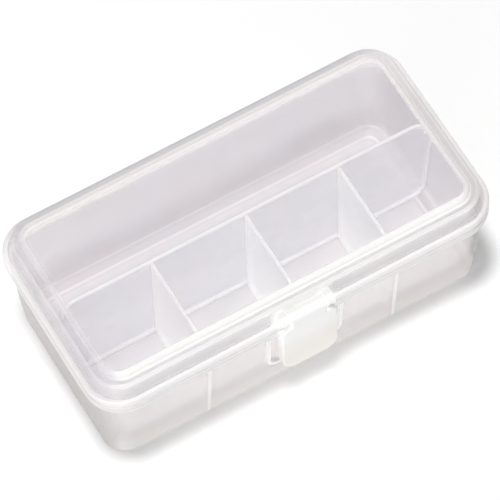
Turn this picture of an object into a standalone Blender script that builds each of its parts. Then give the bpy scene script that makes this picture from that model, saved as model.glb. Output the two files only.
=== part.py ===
"""Hinged parts box: a drafted tray with a divider and partitions, a stepped lid and a snap latch.

X runs along the box, -Y is the front with the latch and +Y the rear with the hinges.
The tray stands on Z = 0. Every moulded wall follows the outline of the lid's flange at some inset,
so its shape is a profile of (inset, z).
"""

import math

import bmesh
import bpy
from mathutils import Matrix, Vector

MM = 0.001

# Outline of the lid's flange, the widest part of the box
RIM_LENGTH = 125.0 * MM
RIM_WIDTH = 65.0 * MM
RIM_CORNER = 11.0 * MM
LEAST_CORNER = 0.6 * MM

# Clearance between pieces that touch
FIT_GAP = 0.3 * MM

# Lid: a flange that laps the tray, a wall that leans in, a rounded shoulder, a ledge and a raised panel
SEAM_Z = 30.9 * MM
LID_WALL = 1.2 * MM
FLANGE_HEIGHT = 5.0 * MM
FLANGE_ROUND = 0.8 * MM
FLANGE_LIP_CHAMFER = 0.4 * MM
LID_LEDGE_RISE = 9.6 * MM
LID_LEAN = 0.8 * MM
SHOULDER_ROUND = 1.3 * MM
LEDGE_WIDTH = 1.7 * MM
PANEL_ROUND = 1.5 * MM

# Tray: a vertical lap inside the flange, drafted walls and a rounded foot
TRAY_WALL = 1.3 * MM
TRAY_FLOOR = 1.5 * MM
TRAY_DRAFT = math.radians(4.5)
LAP_DEPTH = 0.4 * MM
FOOT_ROUND = 2.5 * MM
INNER_ROUND = 4.5 * MM
RIM_CHAMFER = 0.3 * MM

# Divider and partitions: plates that thicken towards the floor
DIVIDER_Y = 0.7 * MM
PLATE_TOP_THICKNESS = 0.9 * MM
PLATE_FOOT_THICKNESS = 1.5 * MM
PLATE_TOP_GAP = 0.4 * MM
PLATE_CORNER = 5.5 * MM
PARTITIONS = ("left", "middle", "right")

# Hinges: knuckles of the tray and of the lid in turn, on moulded pins
HINGE_END_DISTANCE = 24.5 * MM
PIN_RADIUS = 0.6 * MM
PIN_CLEARANCE = 0.15 * MM
PIN_RECESS = 0.4 * MM
KNUCKLE_WALL = 0.85 * MM
TRAY_KNUCKLE = 4.5 * MM
LID_KNUCKLE = 7.0 * MM
KNUCKLE_GAP = 0.4 * MM
HINGE_DROP = 1.9 * MM
HINGE_SWING_GAP = 0.6 * MM
LUG_TOP_DROP = 0.6 * MM
LUG_FOOT_DROP = 3.5 * MM
LUG_EMBED = 0.6 * MM

# Latch: a tab on a barrel that turns between two ears of the lid
LATCH_WIDTH = 17.2 * MM
LATCH_NECK = 11.0 * MM
LATCH_REACH = 24.6 * MM
LATCH_PLATE = 1.6 * MM
LATCH_CORNER = 4.5 * MM
LATCH_SHOULDER_DROP = 3.2 * MM
LATCH_SHOULDER_ROUND = 2.4 * MM
LATCH_EDGE_ROUND = 0.5 * MM
LATCH_FLANGE_GAP = 0.4 * MM
LATCH_RIM_DEPTH = 1.5 * MM
LATCH_RIM_WALL = 1.2 * MM
BARREL_RADIUS = 1.9 * MM
BARREL_WALL_GAP = 0.3 * MM
BARREL_LEDGE_GAP = 0.5 * MM
TRUNNION_RADIUS = 1.0 * MM
TRUNNION_CLEARANCE = 0.2 * MM
EAR_WIDTH = 2.2 * MM
EAR_GAP = 0.35 * MM

# Catch on the tray, hook on the latch and the guard that frames the latch
HOOK_RISE = 3.0 * MM
HOOK_HEIGHT = 1.4 * MM
HOOK_TIP = 0.5 * MM
HOOK_WIDTH = 12.0 * MM
CATCH_PROUD = 1.3 * MM
CATCH_BITE = 0.15 * MM
CATCH_CLEARANCE = 2.2 * MM
CATCH_CREST = 0.6 * MM
CATCH_FLANK = 0.9 * MM
CATCH_RAMP = 2.2 * MM
CATCH_WIDTH = 12.0 * MM
GUARD_MARGIN = 3.2 * MM
GUARD_DROP = 1.2 * MM
GUARD_RIB = 1.0 * MM
GUARD_PROUD = 1.1 * MM
GUARD_CORNER = 4.0 * MM
GUARD_TOP_GAP = 0.6 * MM

# How finely arcs are cut
CORNER_STEPS = 8
ARC_STEPS = 4
ROUND_STEPS = 24

# Lid heights and insets
FLANGE_TOP = SEAM_Z + FLANGE_HEIGHT
SEAT_Z = FLANGE_TOP - LID_WALL
LEDGE_Z = SEAM_Z + LID_LEDGE_RISE
PANEL_Z = LEDGE_Z + PANEL_ROUND
PANEL_UNDER = PANEL_Z - LID_WALL
LEDGE_UNDER = LEDGE_Z - LID_WALL
LAP_OUT = LID_WALL + FIT_GAP
LAP_IN = LAP_OUT + TRAY_WALL
WALL_FOOT = LAP_IN - LID_WALL
WALL_HEAD = WALL_FOOT + LID_LEAN
SHOULDER_IN = WALL_HEAD + SHOULDER_ROUND
PANEL_EDGE = SHOULDER_IN + LEDGE_WIDTH
PANEL_IN = PANEL_EDGE + PANEL_ROUND
STEP_IN = PANEL_EDGE + LID_WALL

# Tray heights
RIM_Z = SEAT_Z - FIT_GAP
LAP_FOOT = SEAM_Z - LAP_DEPTH

# Hinge axis: the flange's lower rear edge clears the knuckles as it swings round them
BORE_RADIUS = PIN_RADIUS + PIN_CLEARANCE
KNUCKLE_RADIUS = BORE_RADIUS + KNUCKLE_WALL
SWING_RADIUS = KNUCKLE_RADIUS + HINGE_SWING_GAP
HINGE_Y = RIM_WIDTH / 2 + math.sqrt(SWING_RADIUS ** 2 - HINGE_DROP ** 2)
HINGE_Z = SEAM_Z - HINGE_DROP
HINGE_WIDTH = LID_KNUCKLE + 2 * (KNUCKLE_GAP + TRAY_KNUCKLE)

# Latch axis: the barrel clears the lid's wall behind it and the flange below it
LATCH_Z = FLANGE_TOP + BARREL_LEDGE_GAP + BARREL_RADIUS
LATCH_BACK = -(RIM_WIDTH / 2 + LATCH_FLANGE_GAP)
LATCH_FRONT = LATCH_BACK - LATCH_PLATE
WALL_SLOPE = LID_LEAN / (LEDGE_Z - SHOULDER_ROUND - FLANGE_TOP)
BARREL_BACKING = -(RIM_WIDTH / 2 - WALL_FOOT - WALL_SLOPE * (LATCH_Z - FLANGE_TOP))
LATCH_Y = min(LATCH_FRONT, BARREL_BACKING - BARREL_WALL_GAP - 2 * BARREL_RADIUS) + BARREL_RADIUS
LATCH_FOOT = LATCH_Z - LATCH_REACH
EAR_IN = LATCH_NECK / 2 + EAR_GAP
EAR_OUT = EAR_IN + EAR_WIDTH


def arc(centre_inset, centre_z, radius, start, end, steps=ARC_STEPS):
    """Profile points on an arc. At 0 degrees it faces outwards, at 90 up and at -90 down."""
    points = []
    for step in range(steps + 1):
        angle = math.radians(start + (end - start) * step / steps)
        points.append((centre_inset - radius * math.cos(angle), centre_z + radius * math.sin(angle)))
    return points


def ring(inset, z):
    """The flange's outline, drawn in by inset and set at height z."""
    half_x = RIM_LENGTH / 2 - inset
    half_y = RIM_WIDTH / 2 - inset
    radius = max(RIM_CORNER - inset, LEAST_CORNER)
    points = []
    for corner, (side_x, side_y) in enumerate(((1, 1), (-1, 1), (-1, -1), (1, -1))):
        for step in range(CORNER_STEPS + 1):
            angle = math.radians(90) * (corner + step / CORNER_STEPS)
            x = side_x * (half_x - radius) + radius * math.cos(angle)
            y = side_y * (half_y - radius) + radius * math.sin(angle)
            points.append((x, y, z))
    return points


def plastic(name, colour, roughness, transmission):
    """A moulded plastic, clear where transmission is near 1."""
    material = bpy.data.materials.new(name)
    material.use_nodes = True
    shader = material.node_tree.nodes["Principled BSDF"]
    shader.inputs["Base Color"].default_value = (*colour, 1.0)
    shader.inputs["Roughness"].default_value = roughness
    shader.inputs["Transmission Weight"].default_value = transmission
    shader.inputs["IOR"].default_value = 1.49
    return material


def add_object(name, shape, material=None, origin=(0.0, 0.0, 0.0)):
    """Turns a bmesh in world coordinates into an object with its origin at the given point."""
    bmesh.ops.recalc_face_normals(shape, faces=shape.faces)
    mesh = bpy.data.meshes.new(name)
    shape.to_mesh(mesh)
    shape.free()
    mesh.transform(Matrix.Translation(-Vector(origin)))
    mesh.shade_smooth()
    mesh.set_sharp_from_angle(angle=math.radians(30))
    obj = bpy.data.objects.new(name, mesh)
    obj.location = origin
    bpy.context.scene.collection.objects.link(obj)
    if material:
        mesh.materials.append(material)
    return obj


def skin(loops):
    """A closed shape through loops of points, each with as many points, and a flat face on each end."""
    shape = bmesh.new()
    rows = [[shape.verts.new(point) for point in loop] for loop in loops]
    for row, after in zip(rows, rows[1:]):
        for i in range(len(row)):
            j = (i + 1) % len(row)
            shape.faces.new((row[i], row[j], after[j], after[i]))
    shape.faces.new(reversed(rows[0]))
    shape.faces.new(rows[-1])
    return shape


def bar(outline, start, end):
    """A (y, z) outline drawn out along X."""
    return skin([[(x, y, z) for y, z in outline] for x in (start, end)])


def circle(centre_y, centre_z, radius):
    """A (y, z) circle."""
    points = []
    for step in range(ROUND_STEPS):
        angle = 2 * math.pi * step / ROUND_STEPS
        points.append((centre_y + radius * math.cos(angle), centre_z + radius * math.sin(angle)))
    return points


def hull(points):
    """The convex outline round some (y, z) points."""
    ordered = sorted(set(points))
    outline = []
    for run in (ordered, ordered[::-1]):
        side = []
        for point in run:
            while len(side) > 1 and turn(side[-2], side[-1], point) <= 0:
                side.pop()
            side.append(point)
        outline += side[:-1]
    return outline


def turn(a, b, c):
    """Twice the area of a, b, c: positive where the path turns left."""
    return (b[0] - a[0]) * (c[1] - a[1]) - (b[1] - a[1]) * (c[0] - a[0])


def combine(target, operation, name, shape):
    """Joins a shape to the target, or cuts it out, with a Boolean that stays on the target."""
    tool = add_object(name, shape)
    tool.hide_render = True
    tool.display_type = "WIRE"
    modifier = target.modifiers.new(name, "BOOLEAN")
    modifier.operation = operation
    modifier.object = tool


def tray_outer_inset(z):
    """How far the tray's outer wall lies inside the flange's outline at height z."""
    return LAP_OUT + max(LAP_FOOT - z, 0.0) * math.tan(TRAY_DRAFT)


def front_wall(z):
    """The outer face of the tray's front wall at height z."""
    return -(RIM_WIDTH / 2 - tray_outer_inset(z))


def foot_centre(lap_inset, base_z, radius):
    """The inset of an arc's centre, where the arc meets the drafted wall and the level at base_z."""
    drop = LAP_FOOT - base_z - radius
    return lap_inset + (radius + drop * math.sin(TRAY_DRAFT)) / math.cos(TRAY_DRAFT)


def tray_inside(gap):
    """The tray's inner profile from the rim to the floor, drawn in by gap."""
    radius = INNER_ROUND - gap
    floor = TRAY_FLOOR + gap
    centre = foot_centre(LAP_IN + gap, floor, radius)
    wall = [(LAP_IN + gap, RIM_Z - RIM_CHAMFER), (LAP_IN + gap, LAP_FOOT)]
    return wall + arc(centre, floor + radius, radius, -math.degrees(TRAY_DRAFT), -90)


def knuckle(lowest, highest):
    """Outline of a hinge knuckle whose web reaches two points of the wall that carries it."""
    return hull(circle(HINGE_Y, HINGE_Z, KNUCKLE_RADIUS) + [lowest, highest])


def hinge_places():
    """The middle of each hinge along X."""
    reach = RIM_LENGTH / 2 - HINGE_END_DISTANCE
    return {"left": -reach, "right": reach}


def guard_outline():
    """The U of the guard as (x, z), outer edge and then inner edge."""
    half = LATCH_WIDTH / 2 + GUARD_MARGIN
    foot = LATCH_FOOT - GUARD_DROP
    head = SEAM_Z - GUARD_TOP_GAP
    edges = []
    for inset in (0.0, GUARD_RIB):
        radius = GUARD_CORNER - inset
        edge = [(half - inset, head)]
        for side, first in ((1, 0), (-1, -90)):
            for step in range(ARC_STEPS + 1):
                angle = math.radians(first - 90 * step / ARC_STEPS)
                x = side * (half - GUARD_CORNER) + radius * math.cos(angle)
                edge.append((x, foot + GUARD_CORNER + radius * math.sin(angle)))
        edge.append((-(half - inset), head))
        edges.append(edge)
    return edges[0] + edges[1][::-1]


def hook_top():
    """The height of the hook's catching edge."""
    return LATCH_FOOT + HOOK_RISE + HOOK_HEIGHT


def catch_foot():
    """The height of the catch's lower edge, which the hook passes under."""
    return hook_top() + CATCH_CLEARANCE


def make_tray(material):
    """The tray, with its guard and catch in front and its hinge knuckles behind."""
    centre = foot_centre(LAP_OUT, 0.0, FOOT_ROUND)
    profile = arc(centre, FOOT_ROUND, FOOT_ROUND, -90, -math.degrees(TRAY_DRAFT))
    profile += [(LAP_OUT, LAP_FOOT), (LAP_OUT, RIM_Z - RIM_CHAMFER), (LAP_OUT + RIM_CHAMFER, RIM_Z)]
    profile += [(LAP_IN - RIM_CHAMFER, RIM_Z)]
    profile += tray_inside(0.0)
    tray = add_object("tray", skin([ring(inset, z) for inset, z in profile]), material)

    outline = guard_outline()
    back = [(x, front_wall(z) + LUG_EMBED, z) for x, z in outline]
    front = [(x, front_wall(z) - GUARD_PROUD, z) for x, z in outline]
    combine(tray, "UNION", "guard_shape", skin([back, front]))

    foot = catch_foot()
    crest = front_wall(foot) - CATCH_PROUD
    embedded = front_wall(foot) + LUG_EMBED
    ridge = [(embedded, foot - CATCH_FLANK), (crest, foot), (crest, foot + CATCH_CREST)]
    ridge += [(embedded, foot + CATCH_CREST + CATCH_RAMP)]
    combine(tray, "UNION", "catch_shape", bar(ridge, -CATCH_WIDTH / 2, CATCH_WIDTH / 2))

    wall = -front_wall(HINGE_Z) - LUG_EMBED
    lug = knuckle((wall, HINGE_Z - LUG_FOOT_DROP), (wall, HINGE_Z - LUG_TOP_DROP))
    inner = LID_KNUCKLE / 2 + KNUCKLE_GAP
    for place, x in hinge_places().items():
        for side, start in (("outer", inner), ("inner", -inner - TRAY_KNUCKLE)):
            shape = bar(lug, x + start, x + start + TRAY_KNUCKLE)
            combine(tray, "UNION", f"tray_knuckle_{place}_{side}", shape)
        bore = circle(HINGE_Y, HINGE_Z, BORE_RADIUS)
        combine(tray, "DIFFERENCE", f"tray_bore_{place}", bar(bore, x - HINGE_WIDTH, x + HINGE_WIDTH))
    return tray


def make_lid(material):
    """The lid, with a knuckle for each hinge behind and the latch's two ears in front."""
    inner_head = WALL_HEAD + LID_WALL
    profile = [(PANEL_IN, PANEL_UNDER), (STEP_IN, PANEL_UNDER - (PANEL_IN - STEP_IN))]
    profile += [(STEP_IN, LEDGE_UNDER), (inner_head, LEDGE_UNDER), (LAP_IN, SEAT_Z), (LID_WALL, SEAT_Z)]
    profile += [(LID_WALL, SEAM_Z), (FLANGE_LIP_CHAMFER, SEAM_Z), (0.0, SEAM_Z + FLANGE_LIP_CHAMFER)]
    profile += arc(FLANGE_ROUND, FLANGE_TOP - FLANGE_ROUND, FLANGE_ROUND, 0, 90)
    profile += [(WALL_FOOT, FLANGE_TOP)]
    profile += arc(SHOULDER_IN, LEDGE_Z - SHOULDER_ROUND, SHOULDER_ROUND, 0, 90)
    profile += arc(PANEL_IN, PANEL_Z - PANEL_ROUND, PANEL_ROUND, 0, 90)
    shape = skin([ring(inset, z) for inset, z in profile])
    lid = add_object("lid", shape, material, (0.0, HINGE_Y, HINGE_Z))

    flange = RIM_WIDTH / 2 - LUG_EMBED
    lug = knuckle((flange, SEAM_Z + FLANGE_LIP_CHAMFER), (flange, FLANGE_TOP - FLANGE_ROUND))
    for place, x in hinge_places().items():
        combine(lid, "UNION", f"lid_knuckle_{place}", bar(lug, x - LID_KNUCKLE / 2, x + LID_KNUCKLE / 2))
        bore = circle(HINGE_Y, HINGE_Z, BORE_RADIUS)
        combine(lid, "DIFFERENCE", f"lid_bore_{place}", bar(bore, x - HINGE_WIDTH, x + HINGE_WIDTH))

    wall = -(RIM_WIDTH / 2 - WALL_HEAD) + LUG_EMBED
    ledge = (-(RIM_WIDTH / 2 - WALL_FOOT), FLANGE_TOP - LUG_EMBED)
    head = (wall, LATCH_Z + BARREL_RADIUS / 2)
    ear = hull(circle(LATCH_Y, LATCH_Z, BARREL_RADIUS) + [ledge, (wall, FLANGE_TOP), head])
    for place, start in (("left", -EAR_OUT), ("right", EAR_IN)):
        combine(lid, "UNION", f"ear_{place}", bar(ear, start, start + EAR_WIDTH))
    socket = circle(LATCH_Y, LATCH_Z, TRUNNION_RADIUS + TRUNNION_CLEARANCE)
    combine(lid, "DIFFERENCE", "trunnion_sockets", bar(socket, -LATCH_WIDTH, LATCH_WIDTH))
    return lid


def tab_outline(inset):
    """The latch's front outline as (x, z), drawn in by inset: a wide tab below a narrow neck."""
    half = LATCH_WIDTH / 2 - inset
    neck = LATCH_NECK / 2 - inset
    shoulder = LATCH_Z - LATCH_SHOULDER_DROP - inset
    corners = (
        (half, LATCH_FOOT + inset, LATCH_CORNER - inset, -90),
        (half, shoulder, LATCH_SHOULDER_ROUND - inset, 0),
    )
    right = []
    for x, z, radius, first in corners:
        centre_z = z + radius if first < 0 else z - radius
        for step in range(ARC_STEPS + 1):
            angle = math.radians(first + 90 * step / ARC_STEPS)
            right.append((x - radius + radius * math.cos(angle), centre_z + radius * math.sin(angle)))
    right += [(neck, shoulder), (neck, LATCH_Z)]
    return right + [(-x, z) for x, z in reversed(right)]


def latch_rim_outline():
    """The U of the rim behind the tab as (x, z): it ends below the lid's flange."""
    head = SEAM_Z - LATCH_FLANGE_GAP
    edges = []
    for inset in (0.0, LATCH_RIM_WALL):
        half = LATCH_WIDTH / 2 - inset
        radius = LATCH_CORNER - inset
        edge = [(half, head)]
        for side, first in ((1, 0), (-1, -90)):
            for step in range(ARC_STEPS + 1):
                angle = math.radians(first - 90 * step / ARC_STEPS)
                x = side * (half - radius) + radius * math.cos(angle)
                edge.append((x, LATCH_FOOT + LATCH_CORNER + radius * math.sin(angle)))
        edge.append((-half, head))
        edges.append(edge)
    return edges[0] + edges[1][::-1]


def make_latch(material):
    """The latch: its tab, rim and hook, on a barrel with a trunnion at each end."""
    loops = []
    for inset, depth in ((0.0, 0.0), (0.0, LATCH_PLATE - LATCH_EDGE_ROUND), (LATCH_EDGE_ROUND, LATCH_PLATE)):
        loops.append([(x, LATCH_BACK - depth, z) for x, z in tab_outline(inset)])
    latch = add_object("latch", skin(loops), material, (0.0, LATCH_Y, LATCH_Z))

    root = LATCH_BACK - LATCH_PLATE / 2
    outline = latch_rim_outline()
    back = [(x, LATCH_BACK + LATCH_RIM_DEPTH, z) for x, z in outline]
    combine(latch, "UNION", "rim_shape", skin([[(x, root, z) for x, z in outline], back]))

    tip = front_wall(catch_foot()) - CATCH_PROUD + CATCH_BITE
    foot = LATCH_FOOT + HOOK_RISE
    hook = [(root, foot), (tip, hook_top() - HOOK_TIP), (tip, hook_top()), (root, hook_top())]
    combine(latch, "UNION", "hook_shape", bar(hook, -HOOK_WIDTH / 2, HOOK_WIDTH / 2))

    barrel = circle(LATCH_Y, LATCH_Z, BARREL_RADIUS)
    combine(latch, "UNION", "barrel_shape", bar(barrel, -LATCH_NECK / 2, LATCH_NECK / 2))
    end = EAR_OUT - EAR_GAP
    trunnion = circle(LATCH_Y, LATCH_Z, TRUNNION_RADIUS)
    combine(latch, "UNION", "trunnion_shape", bar(trunnion, -end, end))
    return latch


def plate_end(top):
    """Profile of a plate's outer end, from the floor up to its rounded top corner."""
    rise = LEDGE_UNDER - top + PLATE_CORNER
    reach = math.sqrt(max((PLATE_CORNER + FIT_GAP) ** 2 - rise ** 2, 0.0))
    wall = WALL_HEAD + LID_WALL + FIT_GAP
    end = max(STEP_IN - PLATE_CORNER + reach, wall)
    corner = arc(end + PLATE_CORNER, top - PLATE_CORNER, PLATE_CORNER, 0, 90)
    return tray_inside(FIT_GAP)[::-1] + corner


def half_thickness(z, top):
    """Half of a plate's thickness at height z."""
    share = (top - z) / (top - TRAY_FLOOR - FIT_GAP)
    return (PLATE_TOP_THICKNESS + (PLATE_FOOT_THICKNESS - PLATE_TOP_THICKNESS) * share) / 2


def make_plates(material):
    """The lengthwise divider, and the partitions between it and the front wall."""
    top = PANEL_UNDER - PLATE_TOP_GAP
    end = plate_end(top)
    right = [(RIM_LENGTH / 2 - inset, z) for inset, z in end]
    outline = right + [(-x, z) for x, z in reversed(right)]
    sides = []
    for side in (1, -1):
        sides.append([(x, DIVIDER_Y + side * half_thickness(z, top), z) for x, z in outline])
    plates = [add_object("divider", skin(sides), material, (0.0, DIVIDER_Y, 0.0))]

    outline = [(-(RIM_WIDTH / 2 - inset), z) for inset, z in end]
    for z in (top, TRAY_FLOOR + FIT_GAP):
        outline.append((DIVIDER_Y - half_thickness(z, top) - FIT_GAP, z))
    half_length = RIM_LENGTH / 2 - tray_outer_inset(RIM_Z / 2) - TRAY_WALL
    pitch = 2 * half_length / (len(PARTITIONS) + 1)
    for place, name in enumerate(PARTITIONS, start=1):
        x = place * pitch - half_length
        sides = []
        for side in (1, -1):
            sides.append([(x + side * half_thickness(z, top), y, z) for y, z in outline])
        plates.append(add_object(f"partition_{name}", skin(sides), material, (x, 0.0, 0.0)))
    return plates


def make_pins(material):
    """The hinge pins, which end just inside the outer knuckles."""
    pins = []
    half = HINGE_WIDTH / 2 - PIN_RECESS
    for place, x in hinge_places().items():
        shape = bar(circle(HINGE_Y, HINGE_Z, PIN_RADIUS), x - half, x + half)
        pins.append(add_object(f"hinge_pin_{place}", shape, material, (x, HINGE_Y, HINGE_Z)))
    return pins


def hold(parent, *children):
    """Parents pieces where they stand."""
    for child in children:
        child.parent = parent
        child.matrix_parent_inverse = Matrix.Translation(-parent.location)


def main():
    for obj in list(bpy.data.objects):
        bpy.data.objects.remove(obj)
    tray = make_tray(plastic("tray_plastic", (0.80, 0.79, 0.78), 0.35, 0.6))
    lid = make_lid(plastic("lid_plastic", (0.86, 0.86, 0.87), 0.30, 0.7))
    latch = make_latch(plastic("latch_plastic", (0.93, 0.93, 0.91), 0.40, 0.1))
    plates = make_plates(plastic("plate_plastic", (0.82, 0.82, 0.83), 0.35, 0.7))
    pins = make_pins(plastic("pin_plastic", (0.86, 0.86, 0.85), 0.35, 0.5))
    hold(tray, *plates, *pins)
    hold(lid, latch)


main()
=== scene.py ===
import math

import bmesh
import bpy
from mathutils import Matrix, Vector


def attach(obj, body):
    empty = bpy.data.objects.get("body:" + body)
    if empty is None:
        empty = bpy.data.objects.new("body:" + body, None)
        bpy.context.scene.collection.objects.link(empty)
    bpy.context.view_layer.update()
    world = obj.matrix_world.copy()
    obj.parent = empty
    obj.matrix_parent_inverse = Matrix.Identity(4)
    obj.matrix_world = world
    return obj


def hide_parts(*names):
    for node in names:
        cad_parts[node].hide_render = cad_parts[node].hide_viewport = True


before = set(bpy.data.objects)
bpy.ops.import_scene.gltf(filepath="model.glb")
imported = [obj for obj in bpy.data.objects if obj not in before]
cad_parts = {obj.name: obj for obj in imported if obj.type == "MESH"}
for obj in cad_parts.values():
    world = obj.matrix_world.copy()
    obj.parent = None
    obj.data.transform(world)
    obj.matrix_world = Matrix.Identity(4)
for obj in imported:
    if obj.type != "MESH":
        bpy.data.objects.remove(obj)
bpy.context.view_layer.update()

MM = 0.001

# Sizes of the moulded box, in metres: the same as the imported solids
RIM_LENGTH, RIM_WIDTH, RIM_CORNER = 125.0 * MM, 65.0 * MM, 11.0 * MM
SEAM_Z, FLANGE_TOP, SEAT_Z = 30.9 * MM, 35.9 * MM, 34.7 * MM
LEDGE_Z, PANEL_Z, LEDGE_UNDER, PANEL_UNDER = 40.5 * MM, 42.0 * MM, 39.3 * MM, 40.8 * MM
LID_WALL, FLANGE_ROUND, LIP_ROUND = 1.2 * MM, 0.8 * MM, 0.4 * MM
SHOULDER_ROUND, PANEL_ROUND = 1.3 * MM, 1.5 * MM
LAP_OUT, LAP_IN = 1.5 * MM, 2.8 * MM
WALL_FOOT, WALL_HEAD, SHOULDER_IN = 1.6 * MM, 2.4 * MM, 3.7 * MM
PANEL_IN, PANEL_MARGIN, STEP_IN, STEP_CHAMFER = 6.9 * MM, 1.2 * MM, 6.6 * MM, 0.3 * MM
RIM_Z, LAP_FOOT, RIM_ROUND = 34.4 * MM, 30.5 * MM, 0.3 * MM
TRAY_WALL, TRAY_FLOOR, DRAFT = 1.3 * MM, 1.5 * MM, math.radians(4.5)
FOOT_ROUND, INNER_ROUND, FIT_GAP = 2.5 * MM, 4.5 * MM, 0.3 * MM
PLATE_TOP, DIVIDER_Y, PLATE_CORNER = 40.4 * MM, 0.7 * MM, 5.5 * MM
PLATE_THIN, PLATE_THICK = 0.9 * MM, 1.5 * MM
HINGE_Y, HINGE_Z, HINGE_X = 33.609054 * MM, 29.0 * MM, 38.0 * MM
KNUCKLE_RADIUS, BORE_RADIUS, PIN_RADIUS = 1.6 * MM, 0.75 * MM, 0.6 * MM
TRAY_KNUCKLE, LID_KNUCKLE, KNUCKLE_GAP, PIN_RECESS = 4.5 * MM, 7.0 * MM, 0.4 * MM, 0.4 * MM
LUG_FOOT, LUG_HEAD, BORE_HALF = 3.5 * MM, 0.6 * MM, 12.0 * MM
LATCH_Y, LATCH_Z, LATCH_BACK, LATCH_FOOT = -32.6 * MM, 38.3 * MM, -32.9 * MM, 13.7 * MM
LATCH_WIDTH, LATCH_NECK, LATCH_PLATE, LATCH_CORNER = 17.2 * MM, 11.0 * MM, 1.6 * MM, 4.5 * MM
SHOULDER_DROP, TAB_SHOULDER, TAB_EDGE = 3.2 * MM, 2.4 * MM, 0.5 * MM
RIM_DEPTH, RIM_WALL, LATCH_GAP = 1.5 * MM, 1.2 * MM, 0.4 * MM
BARREL, TRUNNION, SOCKET, TRUNNION_RECESS = 1.9 * MM, 1.0 * MM, 1.2 * MM, 0.35 * MM
EAR_IN, EAR_WIDTH = 5.85 * MM, 2.2 * MM
HOOK_FOOT, HOOK_TOP, HOOK_TIP, HOOK_WIDTH = 16.7 * MM, 18.1 * MM, 0.5 * MM, 12.0 * MM
CATCH_FOOT, CATCH_PROUD, CATCH_BITE = 20.3 * MM, 1.3 * MM, 0.15 * MM
CATCH_CREST, CATCH_FLANK, CATCH_RAMP, CATCH_WIDTH = 0.6 * MM, 0.9 * MM, 2.2 * MM, 12.0 * MM
GUARD_HALF, GUARD_FOOT, GUARD_HEAD = 11.8 * MM, 12.5 * MM, 30.3 * MM
GUARD_RIB, GUARD_PROUD, GUARD_CORNER = 1.0 * MM, 1.1 * MM, 4.0 * MM
EMBED = 0.6 * MM

# How finely shapes are drawn
EDGE_BAND, PLATE_SOFT, PIN_SOFT = 0.9 * MM, 0.18 * MM, 0.15 * MM
SOFT_SEGMENTS, SOFT_ANGLE, SMOOTH_ANGLE = 2, math.radians(40), math.radians(32)
CORNER_STEPS, ROUND_STEPS, QUARTER_STEPS = 20, 48, 10

# Margins for telling faces apart: ribs on the front wall, the level floor, and the ears' sides and foot
PROUD_MARGIN, LEVEL_MARGIN = 0.2 * MM, 0.01 * MM
EAR_SIDE_MARGIN, EAR_FOOT_MARGIN = 0.1 * MM, 0.05 * MM


# Shapes

def arc(inset, z, radius, start, end, steps=8):
    """Profile points on an arc: at 0 degrees it faces outwards, at 90 up and at -90 down."""
    points = []
    for step in range(steps + 1):
        angle = math.radians(start + (end - start) * step / steps)
        points.append((inset - radius * math.cos(angle), z + radius * math.sin(angle)))
    return points


def ring(inset, z):
    """The flange's outline, drawn in by inset and set at height z."""
    half_x = RIM_LENGTH / 2 - inset
    half_y = RIM_WIDTH / 2 - inset
    radius = RIM_CORNER - inset
    points = []
    for corner, (side_x, side_y) in enumerate(((1, 1), (-1, 1), (-1, -1), (1, -1))):
        for step in range(CORNER_STEPS + 1):
            angle = math.radians(90) * (corner + step / CORNER_STEPS)
            x = side_x * (half_x - radius) + radius * math.cos(angle)
            y = side_y * (half_y - radius) + radius * math.sin(angle)
            points.append((x, y, z))
    return points


def inset_of(x, y):
    """How far a point lies inside the flange's outline."""
    out_x = max(abs(x) - (RIM_LENGTH / 2 - RIM_CORNER), 0.0)
    out_y = max(abs(y) - (RIM_WIDTH / 2 - RIM_CORNER), 0.0)
    return RIM_CORNER - math.hypot(out_x, out_y)


def skin(shape, loops):
    """Adds a closed skin through loops of points, with a flat face on each end."""
    rows = [[shape.verts.new(point) for point in loop] for loop in loops]
    for row, after in zip(rows, rows[1:]):
        for i in range(len(row)):
            j = (i + 1) % len(row)
            shape.faces.new((row[i], row[j], after[j], after[i]))
    shape.faces.new(reversed(rows[0]))
    shape.faces.new(rows[-1])
    return shape


def bar(shape, outline, start, end):
    """Adds a (y, z) outline drawn out along X."""
    return skin(shape, [[(x, y, z) for y, z in outline] for x in (start, end)])


def circle(y, z, radius):
    """A (y, z) circle."""
    turns = [2 * math.pi * step / ROUND_STEPS for step in range(ROUND_STEPS)]
    return [(y + radius * math.cos(turn), z + radius * math.sin(turn)) for turn in turns]


def hull(points):
    """The convex outline round some (y, z) points."""
    ordered = sorted(set(points))
    outline = []
    for run in (ordered, ordered[::-1]):
        side = []
        for c in run:
            while len(side) > 1:
                a, b = side[-2:]
                if (b[0] - a[0]) * (c[1] - a[1]) - (b[1] - a[1]) * (c[0] - a[0]) > 0:
                    break
                side.pop()
            side.append(c)
        outline += side[:-1]
    return outline


def make_object(name, shape):
    """Turns a bmesh into an object."""
    bmesh.ops.recalc_face_normals(shape, faces=shape.faces)
    mesh = bpy.data.meshes.new(name)
    shape.to_mesh(mesh)
    shape.free()
    obj = bpy.data.objects.new(name, mesh)
    bpy.context.scene.collection.objects.link(obj)
    return obj


def settle(obj):
    """Applies an object's modifiers and shades it smooth, apart from real edges."""
    graph = bpy.context.evaluated_depsgraph_get()
    mesh = bpy.data.meshes.new_from_object(obj.evaluated_get(graph))
    obj.modifiers.clear()
    obj.data = mesh
    mesh.shade_smooth()
    mesh.set_sharp_from_angle(angle=SMOOTH_ANGLE)


def combine(obj, operation, shape):
    """Joins a shape to an object, or cuts it out."""
    tool = make_object("tool", shape)
    modifier = obj.modifiers.new("combine", "BOOLEAN")
    modifier.operation = operation
    modifier.object = tool
    settle(obj)
    bpy.data.objects.remove(tool)


def soften(obj, width):
    """Rounds an object's sharp edges."""
    modifier = obj.modifiers.new("soften", "BEVEL")
    modifier.width = width
    modifier.segments = SOFT_SEGMENTS
    modifier.limit_method = "ANGLE"
    modifier.angle_limit = SOFT_ANGLE
    settle(obj)


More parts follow.
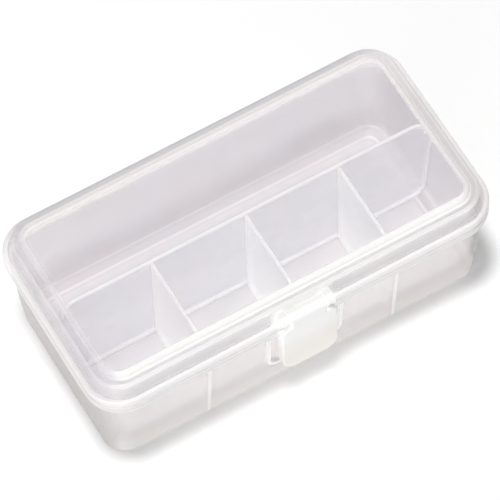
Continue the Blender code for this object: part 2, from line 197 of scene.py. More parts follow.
def outer_inset(z):
    """How far the tray's outer wall lies inside the flange's outline at height z."""
    return LAP_OUT + max(LAP_FOOT - z, 0.0) * math.tan(DRAFT)


# From one partition to the next
PITCH = (RIM_LENGTH / 2 - outer_inset(RIM_Z / 2) - TRAY_WALL) / 2


def front_wall(z):
    """The Y of the tray's outer front wall at height z."""
    return -(RIM_WIDTH / 2 - outer_inset(z))


def foot_centre(lap_inset, base_z, radius):
    """The inset of an arc's centre, where the arc meets the drafted wall and the level at base_z."""
    drop = LAP_FOOT - base_z - radius
    return lap_inset + (radius + drop * math.sin(DRAFT)) / math.cos(DRAFT)


def tray_inside(gap):
    """The tray's inner profile from the rim to the floor, drawn in by gap."""
    radius = INNER_ROUND - gap
    centre = foot_centre(LAP_IN + gap, TRAY_FLOOR + gap, radius)
    wall = [(LAP_IN + gap, RIM_Z - RIM_ROUND), (LAP_IN + gap, LAP_FOOT)]
    return wall + arc(centre, TRAY_FLOOR + gap + radius, radius, -math.degrees(DRAFT), -90, steps=12)


def u_outline(half, foot, head, corner, wall):
    """A U as (x, z), outer edge and then inner edge."""
    edges = []
    for inset in (0.0, wall):
        radius = corner - inset
        edge = [(half - inset, head)]
        for side, first in ((1, 0), (-1, -90)):
            for step in range(QUARTER_STEPS + 1):
                angle = math.radians(first - 90 * step / QUARTER_STEPS)
                x = side * (half - corner) + radius * math.cos(angle)
                edge.append((x, foot + corner + radius * math.sin(angle)))
        edge.append((inset - half, head))
        edges.append(edge)
    return edges[0] + edges[1][::-1]


def make_tray():
    centre = foot_centre(LAP_OUT, 0.0, FOOT_ROUND)
    profile = arc(centre, FOOT_ROUND, FOOT_ROUND, -90, -math.degrees(DRAFT), steps=10)
    profile += [(LAP_OUT, LAP_FOOT)]
    profile += arc(LAP_OUT + RIM_ROUND, RIM_Z - RIM_ROUND, RIM_ROUND, 0, 90, steps=4)
    profile += arc(LAP_IN - RIM_ROUND, RIM_Z - RIM_ROUND, RIM_ROUND, 90, 180, steps=4)[:-1]
    profile += tray_inside(0.0)
    tray = make_object("tray_shell", skin(bmesh.new(), [ring(*point) for point in profile]))

    extra = bmesh.new()
    guard = u_outline(GUARD_HALF, GUARD_FOOT, GUARD_HEAD, GUARD_CORNER, GUARD_RIB)
    skin(extra, [[(x, front_wall(z) - proud, z) for x, z in guard] for proud in (-EMBED, GUARD_PROUD)])
    embedded = front_wall(CATCH_FOOT) + EMBED
    crest = front_wall(CATCH_FOOT) - CATCH_PROUD
    ridge = [(embedded, CATCH_FOOT - CATCH_FLANK), (crest, CATCH_FOOT), (crest, CATCH_FOOT + CATCH_CREST)]
    ridge += [(embedded, CATCH_FOOT + CATCH_CREST + CATCH_RAMP)]
    bar(extra, ridge, -CATCH_WIDTH / 2, CATCH_WIDTH / 2)
    wall = -front_wall(HINGE_Z) - EMBED
    root = [(wall, HINGE_Z - LUG_FOOT), (wall, HINGE_Z - LUG_HEAD)]
    lug = hull(circle(HINGE_Y, HINGE_Z, KNUCKLE_RADIUS) + root)
    bores = bmesh.new()
    inner = LID_KNUCKLE / 2 + KNUCKLE_GAP
    for x in (-HINGE_X, HINGE_X):
        for start in (inner, -inner - TRAY_KNUCKLE):
            bar(extra, lug, x + start, x + start + TRAY_KNUCKLE)
        bar(bores, circle(HINGE_Y, HINGE_Z, BORE_RADIUS), x - BORE_HALF, x + BORE_HALF)
    combine(tray, "UNION", extra)
    combine(tray, "DIFFERENCE", bores)
    return tray


def make_lid():
    inner_head = WALL_HEAD + LID_WALL
    profile = [(PANEL_IN + PANEL_MARGIN, PANEL_UNDER), (PANEL_IN, PANEL_UNDER)]
    profile += [(STEP_IN, PANEL_UNDER - STEP_CHAMFER), (STEP_IN, LEDGE_UNDER), (inner_head, LEDGE_UNDER)]
    profile += [(LAP_IN, SEAT_Z), (LID_WALL, SEAT_Z), (LID_WALL, SEAM_Z)]
    profile += arc(LIP_ROUND, SEAM_Z + LIP_ROUND, LIP_ROUND, -90, 0, steps=4)
    profile += arc(FLANGE_ROUND, FLANGE_TOP - FLANGE_ROUND, FLANGE_ROUND, 0, 90)
    profile += [(WALL_FOOT, FLANGE_TOP)]
    profile += arc(SHOULDER_IN, LEDGE_Z - SHOULDER_ROUND, SHOULDER_ROUND, 0, 90)
    profile += arc(PANEL_IN, PANEL_Z - PANEL_ROUND, PANEL_ROUND, 0, 90)
    profile += [(PANEL_IN + PANEL_MARGIN, PANEL_Z)]
    lid = make_object("lid_shell", skin(bmesh.new(), [ring(*point) for point in profile]))

    extra = bmesh.new()
    holes = bmesh.new()
    flange = RIM_WIDTH / 2 - EMBED
    root = [(flange, SEAM_Z + LIP_ROUND), (flange, FLANGE_TOP - FLANGE_ROUND)]
    lug = hull(circle(HINGE_Y, HINGE_Z, KNUCKLE_RADIUS) + root)
    for x in (-HINGE_X, HINGE_X):
        bar(extra, lug, x - LID_KNUCKLE / 2, x + LID_KNUCKLE / 2)
        bar(holes, circle(HINGE_Y, HINGE_Z, BORE_RADIUS), x - BORE_HALF, x + BORE_HALF)
    wall = -(RIM_WIDTH / 2 - WALL_HEAD) + EMBED
    web = [(-(RIM_WIDTH / 2 - WALL_FOOT), FLANGE_TOP - EMBED), (wall, FLANGE_TOP), (wall, LATCH_Z + BARREL / 2)]
    ear = hull(circle(LATCH_Y, LATCH_Z, BARREL) + web)
    for start in (-EAR_IN - EAR_WIDTH, EAR_IN):
        bar(extra, ear, start, start + EAR_WIDTH)
    bar(holes, circle(LATCH_Y, LATCH_Z, SOCKET), -LATCH_WIDTH, LATCH_WIDTH)
    combine(lid, "UNION", extra)
    combine(lid, "DIFFERENCE", holes)
    return lid


def tab_outline(inset):
    """The latch's front outline as (x, z), drawn in by inset: a wide tab below a narrow neck."""
    half = LATCH_WIDTH / 2 - inset
    shoulder = LATCH_Z - SHOULDER_DROP - inset
    foot_radius, shoulder_radius = LATCH_CORNER - inset, TAB_SHOULDER - inset
    right = []
    for centre, radius, first in ((LATCH_FOOT + inset + foot_radius, foot_radius, -90),
                                  (shoulder - shoulder_radius, shoulder_radius, 0)):
        for step in range(QUARTER_STEPS + 1):
            angle = math.radians(first + 90 * step / QUARTER_STEPS)
            right.append((half - radius + radius * math.cos(angle), centre + radius * math.sin(angle)))
    right += [(LATCH_NECK / 2 - inset, shoulder), (LATCH_NECK / 2 - inset, LATCH_Z)]
    return right + [(-x, z) for x, z in reversed(right)]


def make_latch():
    layers = [(0.0, 0.0)]
    edge = arc(TAB_EDGE, 0.0, TAB_EDGE, 0, 90, steps=5)
    layers += [(inset, LATCH_PLATE - TAB_EDGE + z) for inset, z in edge]
    loops = [[(x, LATCH_BACK - depth, z) for x, z in tab_outline(inset)] for inset, depth in layers]
    latch = make_object("latch_tab", skin(bmesh.new(), loops))
    root = LATCH_BACK - LATCH_PLATE / 2
    rim = u_outline(LATCH_WIDTH / 2, LATCH_FOOT, SEAM_Z - LATCH_GAP, LATCH_CORNER, RIM_WALL)
    loops = [[(x, y, z) for x, z in rim] for y in (root, LATCH_BACK + RIM_DEPTH)]
    combine(latch, "UNION", skin(bmesh.new(), loops))
    tip = front_wall(CATCH_FOOT) - CATCH_PROUD + CATCH_BITE
    hook = [(root, HOOK_FOOT), (tip, HOOK_TOP - HOOK_TIP), (tip, HOOK_TOP), (root, HOOK_TOP)]
    trunnion_half = EAR_IN + EAR_WIDTH - TRUNNION_RECESS
    for outline, half in (
        (hook, HOOK_WIDTH / 2),
        (circle(LATCH_Y, LATCH_Z, BARREL), LATCH_NECK / 2),
        (circle(LATCH_Y, LATCH_Z, TRUNNION), trunnion_half),
    ):
        combine(latch, "UNION", bar(bmesh.new(), outline, -half, half))
    return latch


def plate_end():
    """Profile of a plate's outer end, from the floor up to its rounded top corner."""
    rise = LEDGE_UNDER - PLATE_TOP + PLATE_CORNER
    reach = math.sqrt(max((PLATE_CORNER + FIT_GAP) ** 2 - rise ** 2, 0.0))
    end = max(STEP_IN - PLATE_CORNER + reach, WALL_HEAD + LID_WALL + FIT_GAP)
    corner = arc(end + PLATE_CORNER, PLATE_TOP - PLATE_CORNER, PLATE_CORNER, 0, 90, steps=12)
    return tray_inside(FIT_GAP)[::-1] + corner


def half_thickness(z):
    """Half a plate's thickness at height z: it is thinnest at its top."""
    share = (PLATE_TOP - z) / (PLATE_TOP - TRAY_FLOOR - FIT_GAP)
    return (PLATE_THIN + (PLATE_THICK - PLATE_THIN) * share) / 2


def drawn_in(outline, distance):
    """A flat outline, drawn in by a distance."""
    count = len(outline)
    area = sum(outline[i - 1][0] * outline[i][1] - outline[i][0] * outline[i - 1][1] for i in range(count))
    points = []
    for i, (u, v) in enumerate(outline):
        before = Vector((u - outline[i - 1][0], v - outline[i - 1][1])).normalized()
        after = Vector((outline[(i + 1) % count][0] - u, outline[(i + 1) % count][1] - v)).normalized()
        inward = Vector((-before.y - after.y, before.x + after.x)) * math.copysign(1.0, area)
        inward /= 1 + before.dot(after)
        points.append((u + inward.x * distance, v + inward.y * distance))
    return points


def make_plate(name, outline, place):
    """A tapered plate: its faces, and a band along its edges in white plastic, partly thicker plastic and partly
    painted highlight.
    """
    inner = drawn_in(outline, EDGE_BAND)
    loops = []
    for edge, side in ((inner, 1), (outline, 1), (outline, -1), (inner, -1)):
        loops.append([place(u, z, side * half_thickness(z)) for u, z in edge])
    shape = skin(bmesh.new(), loops)
    for face in shape.faces:
        face.material_index = 1 if len(face.verts) == 4 else 0
    plate = make_object(name, shape)
    plate.data.materials.append(None)
    plate.data.materials.append(None)
    soften(plate, PLATE_SOFT)
    return plate


def make_plates():
    end = plate_end()
    right = [(RIM_LENGTH / 2 - inset, z) for inset, z in end]
    outline = right + [(-x, z) for x, z in reversed(right)]
    plates = {"divider": make_plate("divider_plate", outline, lambda x, z, off: (x, DIVIDER_Y + off, z))}
    outline = [(-(RIM_WIDTH / 2 - inset), z) for inset, z in end]
    for z in (PLATE_TOP, TRAY_FLOOR + FIT_GAP):
        outline.append((DIVIDER_Y - half_thickness(z) - FIT_GAP, z))
    for side, x in (("left", -PITCH), ("middle", 0.0), ("right", PITCH)):
        plate = make_plate(f"partition_{side}_plate", outline, lambda y, z, off: (x + off, y, z))
        plates[f"partition_{side}"] = plate
    return plates


def make_pins():
    half = LID_KNUCKLE / 2 + KNUCKLE_GAP + TRAY_KNUCKLE - PIN_RECESS
    pins = {}
    for side, x in (("left", -HINGE_X), ("right", HINGE_X)):
        shape = bar(bmesh.new(), circle(HINGE_Y, HINGE_Z, PIN_RADIUS), x - half, x + half)
        pin = make_object(f"hinge_pin_{side}_rod", shape)
        soften(pin, PIN_SOFT)
        pins[f"hinge_pin_{side}"] = pin
    return pins


# Materials

# Zones of the lid lie within this distance in from the flange's edge, and turn at its corners by this power
RIM_SPAN, TURN_POWER = 8.0 * MM, 3.0
# Behind the latch the lid's front is pale, a painted highlight, to this half-width and share of the span, with soft
# ends
LATCH_HIGHLIGHT_HALF, LATCH_HIGHLIGHT_SHARE = (8.5 * MM, 11.0 * MM), (0.33, 0.37)
# Lines where the partitions meet the front wall: half-width and its softness, and the wall's limit in Y
JOIN_HALF, JOIN_SOFT, JOIN_LIMIT = 0.60 * MM, 0.3, -20.0 * MM
# Faces count as level, and as ends, over these ranges of their normal; ends reach this weight
LEVEL_RANGE, END_RANGE, END_WEIGHT = (0.4, 0.8), (0.6, 0.95), 0.8
# Depths over which the tint of the ends stops at the lap, and the clearer front wall begins
LAP_FADE, FRONT_FADE = 1.0 * MM, 4.0 * MM
# Noise for clouds in the plastic, its frosted grain and its flow waves
CLOUD = {"Scale": 60.0, "Detail": 3.0, "Roughness": 0.55}
GRAIN = {"Scale": 1100.0, "Detail": 2.0}
FLOW = {"Scale": 18.0, "Detail": 1.0}
FROST_BUMP = {"Strength": 0.012, "Distance": 0.0001}
FLOW_BUMP = {"Strength": 0.02, "Distance": 0.0006}
TINT_RANGE, CLOUD_RANGE, GRAIN_RANGE = (0.35, 0.65), (0.3, 0.7), (0.3, 0.7)
GLOSS_RANGE, PLASTIC_IOR = (0.28, 0.35), 1.49
# Painted highlight in cream on the lid's ends and rear, and painted shade in grey on its rear edge
CREAM_HIGHLIGHT, GREY_SHADE = (0.965, 0.93, 0.90), (0.62, 0.605, 0.63)


def feed(tree, value, socket):
    """Links a socket to an input, or sets a plain value on it."""
    if isinstance(value, bpy.types.NodeSocket):
        tree.links.new(value, socket)
    else:
        socket.default_value = value


def add(tree, kind, *inputs, **values):
    """Adds a node: names of its own properties are set on it, other names and the listed values go to its inputs."""
    node = tree.nodes.new(kind)
    for key, value in values.items():
        if hasattr(node, key):
            setattr(node, key, value)
        else:
            feed(tree, value, node.inputs[key])
    for socket, value in zip(node.inputs, inputs):
        feed(tree, value, socket)
    return node


def calc(tree, operation, *numbers):
    """One step of arithmetic."""
    return add(tree, "ShaderNodeMath", *numbers, operation=operation).outputs[0]


def axis(tree, vector, name):
    """One coordinate of a vector."""
    return add(tree, "ShaderNodeSeparateXYZ", vector).outputs[name]


def facing(tree, name):
    """How much a face points along an axis, either way."""
    normal = tree.nodes.new("ShaderNodeTexCoord").outputs["Normal"]
    return calc(tree, "ABSOLUTE", axis(tree, normal, name))


def noise(tree, place, settings):
    return add(tree, "ShaderNodeTexNoise", Vector=place, **settings).outputs["Fac"]


def ramp(tree, value, stops):
    """A piecewise curve of one number."""
    node = add(tree, "ShaderNodeValToRGB", Fac=value)
    elements = node.color_ramp.elements
    while len(elements) < len(stops):
        elements.new(0.5)
    for element, (place, level) in zip(elements, stops):
        element.position = place
        element.color = (level, level, level, 1.0)
    return node.outputs["Color"]


def blend(tree, factor, a, b):
    """Mixes two colours."""
    node = tree.nodes.new("ShaderNodeMix")
    node.data_type = "RGBA"
    for index, value in ((0, factor), (6, a), (7, b)):
        feed(tree, value, node.inputs[index])
    return node.outputs[2]


def spread(tree, value, low, high, start=0.0, end=1.0):
    """Maps a number from start..end to low..high."""
    values = {"Value": value, "From Min": start, "From Max": end, "To Min": low, "To Max": high}
    node = tree.nodes.new("ShaderNodeMapRange")
    for key, item in values.items():
        feed(tree, item, node.inputs[key])
    return node.outputs["Result"]


def by_height(stops):
    """Weights of a plastic's zones up the box: stops are shares of its height."""
    def weigh(tree, place):
        return ramp(tree, spread(tree, axis(tree, place, "Z"), 0.0, 1.0, 0.0, PANEL_Z), stops)
    return weigh


def rim_place(tree, place):
    """How far in from the flange's edge a point lies, as a share of the span, and how much its edge runs lengthwise."""
    def vector(operation, *inputs):
        return add(tree, "ShaderNodeVectorMath", *inputs, operation=operation).outputs

    corner = (RIM_LENGTH / 2 - RIM_CORNER, RIM_WIDTH / 2 - RIM_CORNER, 0.0)
    out = vector("ABSOLUTE", place)[0]
    out = vector("SUBTRACT", out, corner)[0]
    out = vector("MAXIMUM", out, (0.0, 0.0, 0.0))[0]
    out = vector("MULTIPLY", out, (1.0, 1.0, 0.0))[0]
    length = vector("LENGTH", out)["Value"]
    along = spread(tree, length, RIM_CORNER / RIM_SPAN, 0.0, 0.0, RIM_CORNER)
    outward = axis(tree, vector("NORMALIZE", out)[0], "Y")
    return along, calc(tree, "POWER", outward, TURN_POWER)


def round_rim(front, left, right, rear, dim, seam):
    """Zones of the lid, partly its thicker rounded plastic and partly painted highlight: whiter at the front than at
    the ends and rear, whiter on the right end than on the left, and cream at the ends and rear. Stops are shares of the
    span for the front, the two ends, the rear and the rear's edge in painted shade, and shares of the height for the
    thin line where the tray's rim lies behind the flange."""
    def weigh(tree, place):
        along, lengthwise = rim_place(tree, place)
        x, y = axis(tree, place, "X"), axis(tree, place, "Y")
        behind = calc(tree, "GREATER_THAN", y, 0.0)
        rightward = calc(tree, "GREATER_THAN", x, 0.0)
        front_highlight = spread(tree, calc(tree, "ABSOLUTE", x), 1.0, 0.0, *LATCH_HIGHLIGHT_HALF)
        front_highlight = calc(tree, "MULTIPLY", front_highlight, spread(tree, along, 1.0, 0.0, *LATCH_HIGHLIGHT_SHARE))
        front_highlight = calc(tree, "MAXIMUM", ramp(tree, along, front), front_highlight)
        long_side = blend(tree, behind, front_highlight, ramp(tree, along, rear))
        end_side = blend(tree, rightward, ramp(tree, along, left), ramp(tree, along, right))
        weight = blend(tree, lengthwise, end_side, long_side)
        weight = calc(tree, "MULTIPLY", weight, by_height(seam)(tree, place))
        far = calc(tree, "MULTIPLY", behind, lengthwise)
        grey = calc(tree, "MULTIPLY", ramp(tree, along, dim), far)
        cream = spread(tree, calc(tree, "SUBTRACT", lengthwise, far), 1.0, 0.0)
        return weight, grey, cream
    return weigh


def joined(stops, places):
    """Weights up the tray, and on its front wall the lines where the partitions meet it."""
    def weigh(tree, place):
        weight = by_height(stops)(tree, place)
        x, y = axis(tree, place, "X"), axis(tree, place, "Y")
        front = calc(tree, "LESS_THAN", y, JOIN_LIMIT)
        for middle in places:
            off = calc(tree, "ABSOLUTE", calc(tree, "SUBTRACT", x, middle))
            line = spread(tree, off, 1.0, 0.0, JOIN_HALF * (1 - JOIN_SOFT), JOIN_HALF * (1 + JOIN_SOFT))
            weight = calc(tree, "MAXIMUM", weight, calc(tree, "MULTIPLY", line, front))
        return weight
    return weigh


def level_shade(low, high, stops=None, foot=None, rear=1.0):
    """How much light is kept out: little by upright faces and most by level ones, less where the stops say so and
    by the given share at the rear, and more towards the foot."""
    def weigh(tree, place):
        keeps = spread(tree, facing(tree, "Z"), low, high, *LEVEL_RANGE)
        if stops:
            keeps = calc(tree, "MULTIPLY", keeps, ramp(tree, rim_place(tree, place)[0], stops))
        if foot:
            keeps = calc(tree, "MAXIMUM", keeps, by_height(foot)(tree, place))
        if rear < 1.0:
            behind = spread(tree, axis(tree, place, "Y"), 1.0, rear, 0.0, RIM_WIDTH / 2 - RIM_CORNER)
            keeps = calc(tree, "MULTIPLY", keeps, behind)
        return keeps
    return weigh


def plastic(name, cool, warm, clear, dense, pale=None, zones=None, rim=None, ends=None, front=1.0, shade=None,
            passes=0.5):
    """Frosted polypropylene: cloudy in two tints, and paler and denser in zones. The zones are mostly painted light:
    highlights on rounded rims and lines, partly thicker plastic as well, paler faces where light falls, and a grey
    painted shade on the lid's rear edge.

    Walls that face lengthwise take the colour given for the ends and are denser, up to the lap: painted shade on the
    tray's outer ends and painted light on its inner ends. The front wall keeps the given share of its opacity. Shadow
    rays meet the shade's opacity. Without a shade, the given share of light passes the clear parts."""
    material = bpy.data.materials.new(name)
    material.use_nodes = True
    tree = material.node_tree
    shader = tree.nodes["Principled BSDF"]
    place = tree.nodes.new("ShaderNodeTexCoord").outputs["Object"]
    cloud, grain, flow = (noise(tree, place, settings) for settings in (CLOUD, GRAIN, FLOW))
    tint = blend(tree, spread(tree, cloud, 0.0, 1.0, *TINT_RANGE), (*cool, 1.0), (*warm, 1.0))
    if rim:
        weight, grey, cream = rim(tree, place)
        tint = blend(tree, weight, tint, blend(tree, cream, (*pale, 1.0), (*CREAM_HIGHLIGHT, 1.0)))
        tint = blend(tree, grey, tint, (*GREY_SHADE, 1.0))
        weight = calc(tree, "MAXIMUM", weight, grey)
    elif zones:
        weight = zones(tree, place)
        tint = blend(tree, weight, tint, (*pale, 1.0))
    else:
        weight = spread(tree, cloud, 0.0, 1.0, *CLOUD_RANGE)
    if ends:
        end = spread(tree, facing(tree, "X"), 0.0, END_WEIGHT, *END_RANGE)
        below_lap = spread(tree, axis(tree, place, "Z"), 1.0, 0.0, LAP_FOOT - LAP_FADE, LAP_FOOT)
        end = calc(tree, "MULTIPLY", end, below_lap)
        tint = blend(tree, end, tint, (*ends, 1.0))
        weight = calc(tree, "MAXIMUM", weight, end)
    keeps_out = shade(tree, place) if shade else spread(tree, weight, clear * (1 - passes), dense)
    seen = spread(tree, weight, clear, dense)
    if front < 1.0:
        inner = RIM_CORNER - RIM_WIDTH / 2
        ahead = spread(tree, axis(tree, place, "Y"), front, 1.0, inner - FRONT_FADE, inner)
        seen = calc(tree, "MULTIPLY", seen, ahead)
    shadow_ray = tree.nodes.new("ShaderNodeLightPath").outputs["Is Shadow Ray"]
    tree.links.new(spread(tree, shadow_ray, seen, keeps_out), shader.inputs["Alpha"])
    tree.links.new(tint, shader.inputs["Base Color"])
    tree.links.new(spread(tree, grain, *GLOSS_RANGE, *GRAIN_RANGE), shader.inputs["Roughness"])
    frost = add(tree, "ShaderNodeBump", Height=grain, **FROST_BUMP).outputs["Normal"]
    wave = add(tree, "ShaderNodeBump", Height=flow, Normal=frost, **FLOW_BUMP).outputs["Normal"]
    tree.links.new(wave, shader.inputs["Normal"])
    shader.inputs["IOR"].default_value = PLASTIC_IOR
    return material


def dress(obj, body, slot, *nodes):
    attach(obj, body)
    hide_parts(*nodes)


# Zones of the lid, from its edge in: flange and its top, leaning wall, shoulder, ledge, panel rounding and panel.
# Their whiteness is partly thicker plastic and partly painted highlight, set apart for the front, each end and the
# rear; the rear edge has a band of painted shade
FRONT_RIM = ((0.0, 0.65), (0.05, 0.65), (0.07, 0.9), (0.15, 0.9), (0.19, 0.12), (0.31, 0.12), (0.35, 0.85),
             (0.46, 0.85), (0.51, 0.25), (0.59, 0.25), (0.65, 1.0), (0.86, 1.0), (0.93, 0.0), (1.0, 0.0))
LEFT_RIM = ((0.0, 0.55), (0.16, 0.55), (0.21, 0.12), (0.31, 0.12), (0.35, 0.24), (0.42, 0.24), (0.48, 0.10),
            (0.62, 0.10), (0.70, 0.18), (0.82, 0.18), (0.93, 0.0), (1.0, 0.0))
RIGHT_RIM = ((0.0, 0.60), (0.16, 0.60), (0.21, 0.40), (0.31, 0.40), (0.35, 0.55), (0.42, 0.55), (0.48, 0.35),
             (0.62, 0.35), (0.70, 0.75), (0.82, 0.75), (0.93, 0.0), (1.0, 0.0))
REAR_RIM = ((0.0, 0.15), (0.20, 0.15), (0.32, 0.1), (0.42, 0.15), (0.50, 0.45), (0.62, 0.75), (0.70, 0.6),
            (0.78, 0.75), (0.86, 0.95), (0.93, 0.5), (1.0, 0.0))
REAR_SHADE_BAND = ((0.0, 0.55), (0.20, 0.65), (0.35, 0.75), (0.50, 0.65), (0.60, 0.0), (1.0, 0.0))
SEAM_LINE = ((0.0, 1.0), (0.802, 1.0), (0.808, 0.35), (0.817, 0.35), (0.823, 1.0), (1.0, 1.0))
# Zones up the tray: outside it a paler foot, painted light against the shade seen through the wall, and a paler lap,
# and inside it lines at both ends of the floor's rounding, painted highlights
TRAY_ZONES = ((0.0, 0.55), (0.06, 0.60), (0.17, 0.50), (0.32, 0.10), (0.42, 0.0), (0.70, 0.0), (0.74, 0.35),
              (1.0, 0.35))
INSIDE_HIGHLIGHT_LINES = ((0.0, 0.0), (0.0362, 0.0), (0.0370, 0.75), (0.0400, 0.75), (0.0415, 0.0), (0.070, 0.0),
                (0.076, 0.6), (0.086, 0.6), (0.093, 0.0), (1.0, 0.0))
# The latch is paler towards its top, painted light, and keeps its creamy tint towards its foot
LATCH_PAINTED_LIGHT = ((0.0, 0.0), (0.50, 0.0), (0.72, 1.0), (1.0, 1.0))

# The lid's panel lets most light through, and its rim keeps it out for the shadow at the foot
RIM_SHADE = ((0.0, 1.0), (0.55, 1.0), (0.72, 0.35), (0.86, 0.3), (0.93, 0.07), (1.0, 0.07))
FOOT_SHADE = ((0.0, 0.75), (0.15, 0.70), (0.40, 0.10), (1.0, 0.10))

# The lid: its rim zones are partly thicker plastic and partly painted highlight, with painted shade on the rear edge
lid_plastic = plastic(
    "lid_frosted", (0.80, 0.81, 0.87), (0.84, 0.81, 0.845), 0.15, 0.90, pale=(0.955, 0.945, 0.93),
    rim=round_rim(FRONT_RIM, LEFT_RIM, RIGHT_RIM, REAR_RIM, REAR_SHADE_BAND, SEAM_LINE),
    shade=level_shade(0.10, 0.95, RIM_SHADE, rear=0.6))
# The tray's outer faces: the darker, denser ends are painted shade, and the paler foot is painted light
tray_plastic = plastic(
    "tray_frosted", (0.945, 0.93, 0.897), (0.97, 0.918, 0.89), 0.33, 0.85, pale=(0.98, 0.97, 0.955),
    zones=joined(TRAY_ZONES, (-PITCH, 0.0, PITCH)), ends=(0.47, 0.46, 0.445),
    shade=level_shade(0.10, 0.85, foot=FOOT_SHADE, rear=0.6))
# The tray's inner walls, a darker copy of its plastic as painted shade inside the box, with lighter ends as painted
# light
inside_plastic = plastic(
    "tray_inside_frosted", (0.776, 0.722, 0.757), (0.803, 0.718, 0.75), 0.56, 0.88, pale=(0.98, 0.965, 0.965),
    zones=by_height(INSIDE_HIGHLIGHT_LINES), ends=(0.865, 0.827, 0.854), front=0.30,
    shade=level_shade(0.10, 0.85, rear=0.6))
# The tray's floor, lighter than its inner walls: painted light
floor_plastic = plastic(
    "tray_floor_frosted", (0.889, 0.878, 0.899), (0.91, 0.878, 0.889), 0.58, 0.66, shade=level_shade(0.10, 0.85))
divider_plastic = plastic(
    "divider_frosted", (0.906, 0.928, 0.97), (0.933, 0.922, 0.959), 0.34, 0.42, passes=0.7)
# The partitions, in a paler and denser copy of the plate plastic: painted light on their faces
partition_plastic = plastic(
    "partition_frosted", (0.985, 0.985, 0.985), (0.985, 0.98, 0.98), 0.70, 0.78, shade=level_shade(0.05, 0.50))
# White, dense plastic: the plates' edge bands, partly thicker plastic and partly painted highlight, the lid's ears as
# painted highlight, and the tray's guard and catch
edge_plastic = plastic(
    "edge_white", (0.985, 0.98, 0.975), (0.98, 0.975, 0.97), 0.86, 0.93, shade=level_shade(0.12, 0.50))
latch_plastic = plastic(
    "latch_milky", (0.93, 0.91, 0.875), (0.925, 0.895, 0.85), 0.88, 0.97, pale=(0.985, 0.985, 0.98),
    zones=by_height(LATCH_PAINTED_LIGHT), shade=level_shade(0.08, 0.30))
pin_plastic = plastic("pin_milky", (0.80, 0.80, 0.80), (0.79, 0.78, 0.78), 0.45, 0.55)

tray = make_tray()
for material in (tray_plastic, inside_plastic, edge_plastic, floor_plastic):
    tray.data.materials.append(material)
# Faces proud of the front wall take the white edge plastic; inner walls a darker copy, painted shade; the floor a
# lighter one, painted light
for face in tray.data.polygons:
    x, y, z = face.center
    if y < front_wall(z) - PROUD_MARGIN:
        face.material_index = 2
    elif TRAY_FLOOR / 2 < z < LAP_FOOT and inset_of(x, y) > outer_inset(z) + TRAY_WALL / 2:
        face.material_index = 3 if z < TRAY_FLOOR + LEVEL_MARGIN else 1
dress(tray, "tray", "tray_plastic", "tray")

for node, plate in make_plates().items():
    plate.data.materials[0] = divider_plastic if node == "divider" else partition_plastic
    plate.data.materials[1] = edge_plastic
    dress(plate, "tray", "plate_plastic", node)

for node, pin in make_pins().items():
    pin.data.materials.append(pin_plastic)
    dress(pin, "tray", "pin_plastic", node)

lid = make_lid()
for material in (lid_plastic, edge_plastic):
    lid.data.materials.append(material)
# The ears for the latch take the white edge plastic, a painted highlight that merges them with the front rim's bright
# band
for face in lid.data.polygons:
    x, y, z = face.center
    between = abs(x) < EAR_IN + EAR_WIDTH + EAR_SIDE_MARGIN
    if y < 0 and between and z > FLANGE_TOP + EAR_FOOT_MARGIN and inset_of(x, y) < WALL_FOOT:
        face.material_index = 1
dress(lid, "lid", "lid_plastic", "lid")

latch = make_latch()
latch.data.materials.append(latch_plastic)
dress(latch, "latch", "latch_plastic", "latch")


# Stage, light and camera

FLOOR_SIZE, FLOOR_STEPS, FLOOR_DROP = 6.0, 8, 0.2 * MM
# The floor's glow is for camera rays alone, and keeps the background white
PAPER, FLOOR_GLOW = (0.97, 0.97, 0.97, 1.0), 0.10
WHITE = (1.0, 1.0, 1.0, 1.0)
# The world is white where it is seen or mirrored, and lights the box by this much
AMBIENT = 0.22
# Lamps: name, strength, angle across in degrees, and the side they stand on
LAMPS = (
    ("overhead", 2.03, 11, (-0.085, -0.005, 1.0)),
    ("front_card", 1.78, 40, (-0.76, -0.635, 0.12)),
)
# The photograph's view, fitted to its frame: where the box's origin lies is in pixels from the frame's middle
AZIMUTH, ELEVATION, ROLL = math.radians(-27.6), math.radians(61.0), math.radians(-2.8)
DISTANCE, FOCAL_PIXELS, FRAME_PIXELS = 1.3, 4660.0, 500
ORIGIN_RIGHT, ORIGIN_DOWN = -0.7, 36.9
SENSOR, CLIP_START = 36.0, 0.05
TRANSPARENT_BOUNCES, DIFFUSE_BOUNCES = 32, 8


def make_floor():
    shape = bmesh.new()
    places = [-FLOOR_SIZE / 2 + FLOOR_SIZE * step / FLOOR_STEPS for step in range(FLOOR_STEPS + 1)]
    rows = [[shape.verts.new((x, y, -FLOOR_DROP)) for x in places] for y in places]
    for i in range(FLOOR_STEPS):
        for j in range(FLOOR_STEPS):
            shape.faces.new((rows[i][j], rows[i][j + 1], rows[i + 1][j + 1], rows[i + 1][j]))
    floor = make_object("studio_floor", shape)
    material = bpy.data.materials.new("studio_paper")
    material.use_nodes = True
    tree = material.node_tree
    shader = tree.nodes["Principled BSDF"]
    shader.inputs["Base Color"].default_value = PAPER
    shader.inputs["Roughness"].default_value = 1.0
    shader.inputs["Specular IOR Level"].default_value = 0.0
    shader.inputs["Emission Color"].default_value = WHITE
    seen = tree.nodes.new("ShaderNodeLightPath").outputs["Is Camera Ray"]
    tree.links.new(spread(tree, seen, 0.0, FLOOR_GLOW), shader.inputs["Emission Strength"])
    floor.data.materials.append(material)


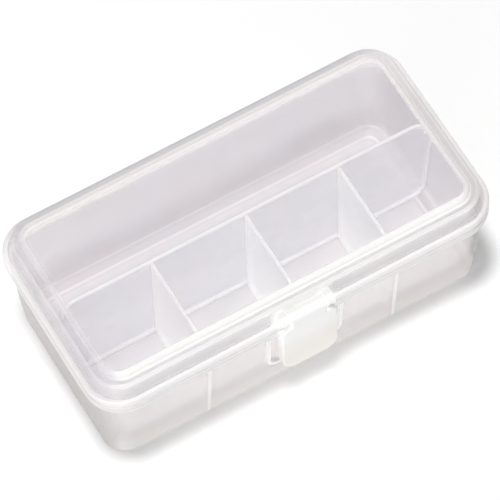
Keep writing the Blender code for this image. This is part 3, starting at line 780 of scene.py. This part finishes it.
def make_light():
    world = bpy.data.worlds.new("studio")
    bpy.context.scene.world = world
    world.use_nodes = True
    tree = world.node_tree
    background = tree.nodes["Background"]
    path = tree.nodes.new("ShaderNodeLightPath").outputs
    seen = calc(tree, "MAXIMUM", path["Is Camera Ray"], path["Is Glossy Ray"])
    seen = calc(tree, "MAXIMUM", seen, path["Is Transmission Ray"])
    background.inputs["Color"].default_value = WHITE
    tree.links.new(spread(tree, seen, AMBIENT, 1.0), background.inputs["Strength"])
    for name, strength, angle, towards in LAMPS:
        lamp = bpy.data.lights.new(name, "SUN")
        lamp.energy = strength
        lamp.angle = math.radians(angle)
        sun = bpy.data.objects.new(name, lamp)
        sun.rotation_euler = Vector(towards).to_track_quat("Z", "Y").to_euler()
        bpy.context.scene.collection.objects.link(sun)


def make_camera():
    level = math.cos(ELEVATION)
    back = Vector((math.sin(AZIMUTH) * level, -math.cos(AZIMUTH) * level, math.sin(ELEVATION)))
    right = Vector((math.cos(AZIMUTH), math.sin(AZIMUTH), 0.0))
    up = back.cross(right)
    right, up = (math.cos(ROLL) * right + math.sin(ROLL) * up,
                 math.cos(ROLL) * up - math.sin(ROLL) * right)
    place = back * DISTANCE
    target = (up * ORIGIN_DOWN - right * ORIGIN_RIGHT) * DISTANCE / FOCAL_PIXELS
    back = (place - target).normalized()
    right = up.cross(back).normalized()
    up = back.cross(right)
    lens = bpy.data.cameras.new("photo_view")
    lens.sensor_width = SENSOR
    lens.lens = SENSOR * FOCAL_PIXELS / FRAME_PIXELS
    lens.clip_start = CLIP_START
    camera = bpy.data.objects.new("photo_view", lens)
    camera.matrix_world = Matrix.Translation(place) @ Matrix((right, up, back)).transposed().to_4x4()
    bpy.context.scene.collection.objects.link(camera)
    bpy.context.scene.camera = camera


make_floor()
make_light()
make_camera()
bpy.context.scene.view_settings.view_transform = "Standard"
bpy.context.scene.cycles.transparent_max_bounces = TRANSPARENT_BOUNCES
bpy.context.scene.cycles.diffuse_bounces = DIFFUSE_BOUNCES
bpy.context.scene.cycles.caustics_reflective = False
